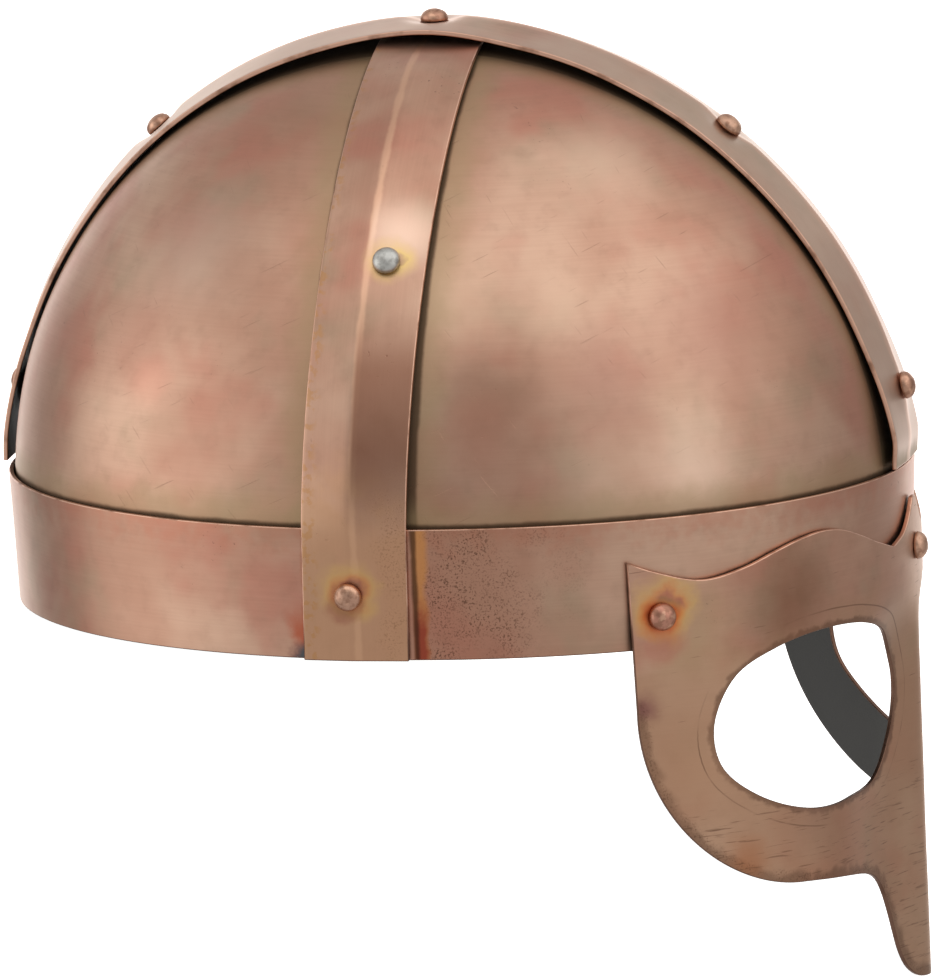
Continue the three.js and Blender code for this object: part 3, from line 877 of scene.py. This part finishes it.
# %% Side strap finish
strap_coat = copper_base("antique_copper_side_strap", grain=(1, 30, 30), shift=43.0, rough=0.35)
across_strap = axis_value(strap_coat, "X", CROSSING - 0.8)
up_strap = axis_value(strap_coat, "Z")
crease_line = size_of(strap_coat, axis_value(strap_coat, "X", CROSSING - 1.6))
# A painted highlight along the crease.
crease_highlight = between(strap_coat, ragged(strap_coat, crease_line, 0.5, 6), 1.1, 0.1, 0.55)
lay_over(strap_coat, crease_highlight, linear("#DDB093"), 0.3)
strap_pitted = times(
    strap_coat,
    between(strap_coat, ragged(strap_coat, across_strap, 5, 10), 0, 6),
    between(strap_coat, ragged(strap_coat, up_strap, 10, 14), 48, 22),
)
lay_over(strap_coat, times(strap_coat, strap_pitted, 0.35), linear("#B07C64"))
pits(strap_coat, strap_pitted)
warm_low = between(strap_coat, ragged(strap_coat, up_strap, 14, 12), 44, 26, 0.5)
lay_over(strap_coat, warm_low, linear("#C49873"))
# A painted highlight: a pale pool on the strap's front face, above the middle rivet.
highlight_spot = strap_seats["rivet_strap_right_mid"][0] + Vector((4, 0, 11))
highlight_gap = gap_to(strap_coat, highlight_spot)
before_crease = between(strap_coat, axis_value(strap_coat, "X", CROSSING - 2.4), -0.5, 1.0)
pale_highlight_pool = times(strap_coat, between(strap_coat, highlight_gap, 17, 3, 0.9), before_crease)
lay_over(strap_coat, pale_highlight_pool, linear("#F0D2BC"), 0.33)
# The front face is drawn darker round 62 mm up.
from_darker_middle = size_of(strap_coat, axis_value(strap_coat, "Z", 62))
darker_front_middle = times(strap_coat, between(strap_coat, from_darker_middle, 26, 8), before_crease)
lay_over(strap_coat, times(strap_coat, darker_front_middle, 0.7), linear("#93634E"))
specks_line = between(strap_coat, ragged(strap_coat, across_strap, 1.5, 3), -10.5, -13.0)
specks = times(strap_coat, specks_line, patches(strap_coat, 2.2, 0.50, 0.60, shift=7.0))
lay_over(strap_coat, times(strap_coat, specks, 0.5), linear("#B58450"), 0.45)
MID_HEAT = [(0.38, "#9A7A4C", 0.5), (0.52, "#DDBE74", 0.75), (0.70, "#D9B878", 0.45), (1.0, "#CDAA80", 0.0)]
for name, (seat, _) in strap_seats.items():
    if name.endswith("_mid"):
        heat_ring(strap_coat, seat + Vector((1.4, 0, 1.2)), 9.0, colours=MID_HEAT)
    else:
        heat_ring(strap_coat, seat + Vector((0.6, 0, 1.4)), 10.5, most=0.75)
        heat_ring(strap_coat, seat + Vector((-1.6, 0, -2.2)), 7.0, most=0.7, colours=[
            (0.45, "#7C4038", 0.75), (0.75, "#8E4A40", 0.55), (1.0, "#A26A50", 0.0),
        ])
strap_copper = finish(strap_coat)

# %% Side strap
strap_mesh = sheet_mesh("helmet_side_strap", 280, 27, strap_point)
side_strap = place_piece(
    "helmet_side_strap", strap_mesh, [strap_copper, EDGE_COPPER, INSIDE_PAINT],
    ["side_strap"],
)
file_edges(side_strap)

# %% [markdown]
# ## Spectacle guard
# The guard was cut flat from one sheet, folded along the nose and bent round the brow. It is
# made the same way here: the outline and the eye holes are drawn flat, a filled curve gives
# the sheet with rounded edges, the flat sheet is scored into a fine grid so that it can bend,
# and then every point is moved to its place on the bent face.

# %% Guard outline
GUARD_LENGTH, GUARD_WIDTH, GUARD_FLARE, GUARD_ROUND = 117.2, 102.6, 0.012, 110.0
RING_CENTRE, RING_RADIUS = (62.3, -15.5), 47.8
NOSE_FOLD, NOSE_ROUND = 0.42, 2.5

# Distance round the brow from the nose line, and height above the rim.
BROW_WAVE = [
    (111.4, 22.6), (104, 19.7), (92, 16.7), (80, 18.4), (70, 21.3), (62, 23.2),
    (54, 24.1), (46, 23.3), (37.5, 20.6), (30, 17.8), (19.5, 14.7),
]
TONGUE = [(19.5, 14.7), (11, 17), (6.2, 20), (3.4, 22.6), (1.6, 24.4)]
NOSE = [
    (59.4, -63.6), (45.4, -64.9), (35, -66.3), (29.5, -67.6), (25.3, -69.7), (22, -73.6), (19.1, -79.3),
    (16.9, -84.9), (14.9, -89.8), (12.1, -94.2), (8.8, -96.9), (5.4, -98.3), (0, -98.9),
]
EYE_HOLE = [
    (13.2, -23), (14.6, -14.6), (21, -7.2), (36, -2), (55, -0.6), (71, -3),
    (83.5, -8.6), (90, -20), (88.4, -30.5), (79, -38.7), (62, -44.8),
    (42, -45.2), (24.5, -43.2), (16.4, -34),
]


def smooth_line(points, closed=False, step=1.6):
    """A line that runs smoothly through the points, with a point about every step."""
    through = [Vector(p) for p in points]
    if closed:
        through = [through[-1], *through, through[0], through[1]]
    else:
        through = [through[0] * 2 - through[1], *through, through[-1] * 2 - through[-2]]
    line = []
    for before, start, end, after in zip(through, through[1:], through[2:], through[3:]):
        gaps = [math.sqrt((b - a).length) for a, b in ((before, start), (start, end), (end, after))]
        leave = (start - before) / gaps[0] - (end - before) / (gaps[0] + gaps[1]) + (end - start) / gaps[1]
        arrive = (end - start) / gaps[1] - (after - start) / (gaps[1] + gaps[2]) + (after - end) / gaps[2]
        leave, arrive = leave * gaps[1], arrive * gaps[1]
        count = max(2, round((end - start).length / step))
        for k in range(count):
            t = k / count
            line.append(
                start * (2 * t**3 - 3 * t**2 + 1) + leave * (t**3 - 2 * t**2 + t)
                + end * (3 * t**2 - 2 * t**3) + arrive * (t**3 - t**2)
            )
    if not closed:
        line.append(through[-2])
    return line


def ring_arc(steps=56):
    turns = [math.radians(mix(-88, 0, k / steps)) for k in range(steps + 1)]
    return [
        Vector((RING_CENTRE[0] + RING_RADIUS * math.cos(t), RING_CENTRE[1] + RING_RADIUS * math.sin(t)))
        for t in turns
    ]


def mirrored(line):
    return [Vector((-p.x, p.y)) for p in reversed(line)]


half_outline = [
    *smooth_line(NOSE[::-1]), *ring_arc(), *smooth_line(BROW_WAVE), *smooth_line(TONGUE)[1:],
]
guard_outline = [*half_outline, *mirrored(half_outline)[:-1]]
eye_outline = smooth_line(EYE_HOLE, closed=True)
print("outline points:", len(guard_outline), "eye hole points:", len(eye_outline))


# %% Guard's bent face
def guard_face(s, z):
    length = GUARD_LENGTH - GUARD_FLARE * z
    y = GUARD_WIDTH * math.sin(s / GUARD_ROUND)
    oval = length * (1 - math.cos(s / GUARD_ROUND))
    folded = NOSE_FOLD * (math.hypot(y, NOSE_ROUND) - NOSE_ROUND)
    amount = ease(4, -16, z) * (1 - ease(12, 56, abs(y)))
    return Vector((length - mix(oval, folded, amount), y, z))


def guard_outward(s, z):
    round_way = guard_face(s + 0.5, z) - guard_face(s - 0.5, z)
    up_way = guard_face(s, z + 0.5) - guard_face(s, z - 0.5)
    return round_way.cross(up_way).normalized()


# %% Guard mesh
def filled_sheet(outlines, thickness, rounding):
    """A flat sheet inside the first outline and outside the others, with rounded edges."""
    curve = bpy.data.curves.new("flat_sheet", "CURVE")
    curve.dimensions = "2D"
    curve.fill_mode = "BOTH"
    curve.extrude = thickness / 2 - rounding
    curve.bevel_depth = rounding
    curve.bevel_resolution = 1
    curve.offset = -rounding
    for outline in outlines:
        spline = curve.splines.new("POLY")
        spline.points.add(len(outline) - 1)
        for point, corner in zip(spline.points, outline):
            point.co = (corner.x, corner.y, 0, 1)
        spline.use_cyclic_u = True
    holder = bpy.data.objects.new("flat_sheet", curve)
    bpy.context.scene.collection.objects.link(holder)
    graph = bpy.context.evaluated_depsgraph_get()
    mesh = bpy.data.meshes.new_from_object(holder.evaluated_get(graph))
    bpy.data.objects.remove(holder)
    return mesh


flat_mesh = filled_sheet([guard_outline, eye_outline, mirrored(eye_outline)], SHEET, 0.25)
guard_bm = bmesh.new()
guard_bm.from_mesh(flat_mesh)
bmesh.ops.remove_doubles(guard_bm, verts=guard_bm.verts, dist=1e-4)


def score(start, end, spacing, normal):
    """Cuts the flat sheet along parallel lines."""
    count = round((end - start) / spacing)
    for k in range(count + 1):
        cut = mix(start, end, k / count)
        everything = [*guard_bm.verts, *guard_bm.edges, *guard_bm.faces]
        bmesh.ops.bisect_plane(
            guard_bm, geom=everything, plane_co=Vector(normal) * cut, plane_no=normal, dist=1e-4,
        )


score(-112, 112, 2.0, (1, 0, 0))
score(-99, 25, 2.5, (0, 1, 0))

eye_edges = [*eye_outline, *mirrored(eye_outline)]
hole_gap = guard_bm.verts.layers.float.new("hole_gap")
rim_gap = guard_bm.verts.layers.float.new("rim_gap")
for piece_face in guard_bm.faces:
    level_face = abs(piece_face.normal.z) > 0.98
    outer_face = piece_face.calc_center_median().z > 0
    piece_face.material_index = (OUTSIDE if outer_face else INSIDE) if level_face else EDGE
    piece_face.smooth = True
for vertex in guard_bm.verts:
    flat = vertex.co.copy()
    spot = flat.xy
    vertex[hole_gap] = min((spot - corner).length for corner in eye_edges)
    vertex[rim_gap] = min((spot - corner).length for corner in guard_outline)
    outward = guard_outward(flat.x, flat.y)
    sink = uneven(Vector((flat.x, flat.y, 900)), 26, 0.25)
    vertex.co = (guard_face(flat.x, flat.y) + outward * (flat.z - SHEET / 2 - sink)) * MM
guard_mesh = bpy.data.meshes.new("helmet_eye_guard")
guard_bm.to_mesh(guard_mesh)
guard_bm.free()
print("helmet_eye_guard faces:", len(guard_mesh.polygons))

# %% Guard finish
guard_coat = copper_base("antique_copper_eye_guard", grain=(20, 20, 1), shift=59.0, rough=0.44)
guard_tree = guard_coat["tree"]
hole_away = add(guard_tree, "ShaderNodeAttribute", attribute_name="hole_gap", out=2)
rim_away = add(guard_tree, "ShaderNodeAttribute", attribute_name="rim_gap", out=2)
guard_low = axis_value(guard_coat, "Z")
worn_low = between(guard_coat, ragged(guard_coat, guard_low, 10, 14), 2, -12, 0.5)
lay_over(guard_coat, worn_low, linear("#A98668"), 0.5)
dark_rim = between(guard_coat, ragged(guard_coat, rim_away, 2.0, 5), 2.6, 0.2, 0.5)
below_brow = between(guard_coat, guard_low, 14, -2)
lay_over(guard_coat, times(guard_coat, dark_rim, below_brow), linear("#5E4234"), 0.5)
dark_hole_edge = between(guard_coat, ragged(guard_coat, hole_away, 1.2, 3), 1.5, 0.2, 0.6)
lay_over(guard_coat, dark_hole_edge, linear("#5E4234"), 0.5)
GUARD_BLOTCHES = [
    ((95.9, 58.8, 9), 20, "#7C5541", 0.75, 0.5), ((86.3, 69.9, -56), 9, "#A8704F", 0.7, 0.45),
    ((77.6, 76.9, 4), 16, "#A8906F", 0.5, 0.45), ((74, 80, -30), 18, "#AE8468", 0.5, 0.45),
    ((100, 53, -47), 14, "#A17C6A", 0.5, 0.5), ((65, 85.4, -14), 5, "#7C4A4E", 0.6, 0.5),
    ((112, 18, -8), 14, "#A58C7A", 0.5, 0.4),
]
for (x, y, z), reach, code, most, roughness in GUARD_BLOTCHES:
    for side in (-1, 1):
        blotch(guard_coat, (x, side * y, z), reach, code, most, roughness)
scored = times(
    guard_coat,
    between(guard_coat, guard_low, -40, -44),
    patches(guard_coat, 1.0, 0.58, 0.68, stretch=(9, 9, 0.6), shift=21.0),
)
lay_over(guard_coat, times(guard_coat, scored, 0.45), linear("#5F4334"), 0.5)
guard_coat_pits = times(
    guard_coat,
    between(guard_coat, ragged(guard_coat, rim_away, 2.0, 6), 2.6, 0.6, 0.6),
    between(guard_coat, guard_low, 2, -10),
)
pits(guard_coat, guard_coat_pits)
from_scribe = add(guard_tree, "ShaderNodeMath", {0: hole_away, 1: 4.6}, operation="SUBTRACT")
scribe_gap = size_of(guard_coat, from_scribe)
scribed = between(guard_coat, scribe_gap, 0.28, 0.06, 0.55)
scribed_parts = times(guard_coat, scribed, patches(guard_coat, 25, 0.42, 0.6, shift=4.0))
lay_over(guard_coat, scribed_parts, linear("#5F4334"), 0.5)
scratches(guard_coat, 0.6, 4, 16, shift=5.0, most=0.6)

GUARD_RIVETS = {
    "rivet_guard_centre": (0, 11.7), "rivet_guard_right": (-103.2, 8.7), "rivet_guard_left": (103.2, 8.7),
}
guard_seats = {name: (guard_face(s, z), guard_outward(s, z)) for name, (s, z) in GUARD_RIVETS.items()}
for name, (seat, _) in guard_seats.items():
    if not name.endswith("centre"):
        heat_ring(guard_coat, seat + Vector((1.2, 0, 2.4)), 12.5, most=0.8)
        heat_ring(guard_coat, seat + Vector((-0.4, 0, -0.6)), 8.6, most=0.9, colours=[
            (0.42, "#7E2F18", 0.95), (0.62, "#C1602C", 0.85), (0.80, "#CF8A4A", 0.5), (1.0, "#C99A62", 0.0),
        ])
        heat_ring(guard_coat, seat + Vector((0.4, 0, -6.5)), 9.0, most=0.55, colours=[
            (0.2, "#A8544A", 0.8), (0.6, "#AE6052", 0.6), (1.0, "#B5785F", 0.0),
        ])
guard_copper = finish(guard_coat)

# %% Guard
eye_guard = place_piece(
    "helmet_eye_guard", guard_mesh, [guard_copper, EDGE_COPPER, INSIDE_PAINT], ["eye_guard"],
)
guard_weights = eye_guard.modifiers.new("even_shading", "WEIGHTED_NORMAL")
guard_weights.keep_sharp = True

# %% [markdown]
# ## Rivets
# A rivet is a short steel pin with a domed head. Its shank goes through the sheets and its end
# is flattened inside. The dome is beaten with a small hammer, which leaves flats on it. Two
# rivets half way up the strap lost their copper and show bare steel.

# %% Rivet finishes
rivet_coat = copper_base("copper_plated_rivet", grain=(1, 1, 1), shift=71.0, rough=0.36)
lay_over(rivet_coat, patches(rivet_coat, 1.8, 0.45, 0.62, most=0.6), linear("#8B6450"), 0.45)
lay_over(rivet_coat, patches(rivet_coat, 2.4, 0.50, 0.66, shift=3.0, most=0.6), linear("#DDB094"), 0.3)
rivet_copper = finish(rivet_coat)
steel_coat = copper_base("bare_worn_steel_rivet", grain=(1, 1, 1), shift=83.0, rough=0.38)
steel_coat["colour"] = linear("#B9B8B4")
lay_over(steel_coat, patches(steel_coat, 1.6, 0.46, 0.70, most=0.6), linear("#7E7B76"), 0.5)
rivet_steel = finish(steel_coat)


# %% Rivet shape
def rivet_profile(grip):
    """Distance from the axis and height, from the top of the head to the end of the tail."""
    profile = [(0.0, 3.0)]
    rounds = 9
    for k in range(1, rounds + 1):
        turn = k / rounds * math.pi / 2
        profile.append((RIVET_HEAD * math.sin(turn), 0.35 + 2.65 * math.cos(turn) ** 0.9))
    profile += [(RIVET_HEAD - 0.1, 0.0), (1.9, 0.0), (1.9, -grip), (2.7, -grip)]
    profile += [(2.7, -grip - 0.5), (2.2, -grip - 0.9), (0.0, -grip - 1.0)]
    return profile


def rivet_mesh(name, seat, outward, grip, seed):
    bm = bmesh.new()
    sides = 32
    rings = []
    for radius, height in rivet_profile(grip):
        ring = []
        for k in range(sides):
            turn = k / sides * math.tau
            ring.append(bm.verts.new((radius * math.cos(turn), radius * math.sin(turn), height)))
        rings.append(ring)
    for upper, lower in zip(rings, rings[1:]):
        for k in range(sides):
            n = (k + 1) % sides
            bm.faces.new([upper[k], lower[k], lower[n], upper[n]]).smooth = True
    bmesh.ops.remove_doubles(bm, verts=bm.verts, dist=1e-4)
    # Each hammer blow presses the dome down to a flat plane of its own.
    for blow in range(7):
        turn = (blow * 2.4 + seed * 1.7) % math.tau
        tilt = math.radians(12 + 44 * ((blow * 0.618 + seed * 0.37) % 1.0))
        facing = Vector((math.sin(tilt) * math.cos(turn), math.sin(tilt) * math.sin(turn), math.cos(tilt)))
        reach = max(vertex.co.dot(facing) for vertex in bm.verts) - 0.10
        for vertex in bm.verts:
            above = vertex.co.dot(facing) - reach
            if above > 0 and vertex.co.z > 0.3:
                vertex.co -= facing * above * 0.85
    upright = outward.to_track_quat("Z", "Y").to_matrix().to_4x4()
    bm.transform(Matrix.Scale(MM, 4) @ Matrix.Translation(seat + outward * 0.15) @ upright)
    bmesh.ops.recalc_face_normals(bm, faces=bm.faces)
    mesh = bpy.data.meshes.new(name)
    bm.to_mesh(mesh)
    bm.free()
    return mesh


# %% Rivets
seats = {**strap_seats, **guard_seats}
for name, (degrees, dip) in CREST_RIVETS.items():
    outward = crest_outward(degrees)
    seats[name] = (crest_ridge(degrees) - outward * (dip + 0.1), outward)

for number, (name, (seat, outward)) in enumerate(sorted(seats.items())):
    grip = RIVET_GRIP + (GUARD_GRIP if "guard" in name else 0)
    bare = name.endswith("_mid")
    place_piece(
        "helmet_" + name, rivet_mesh(name, seat, outward, grip, number),
        [rivet_steel if bare else rivet_copper], [name],
    )
print("rivets:", len(seats))
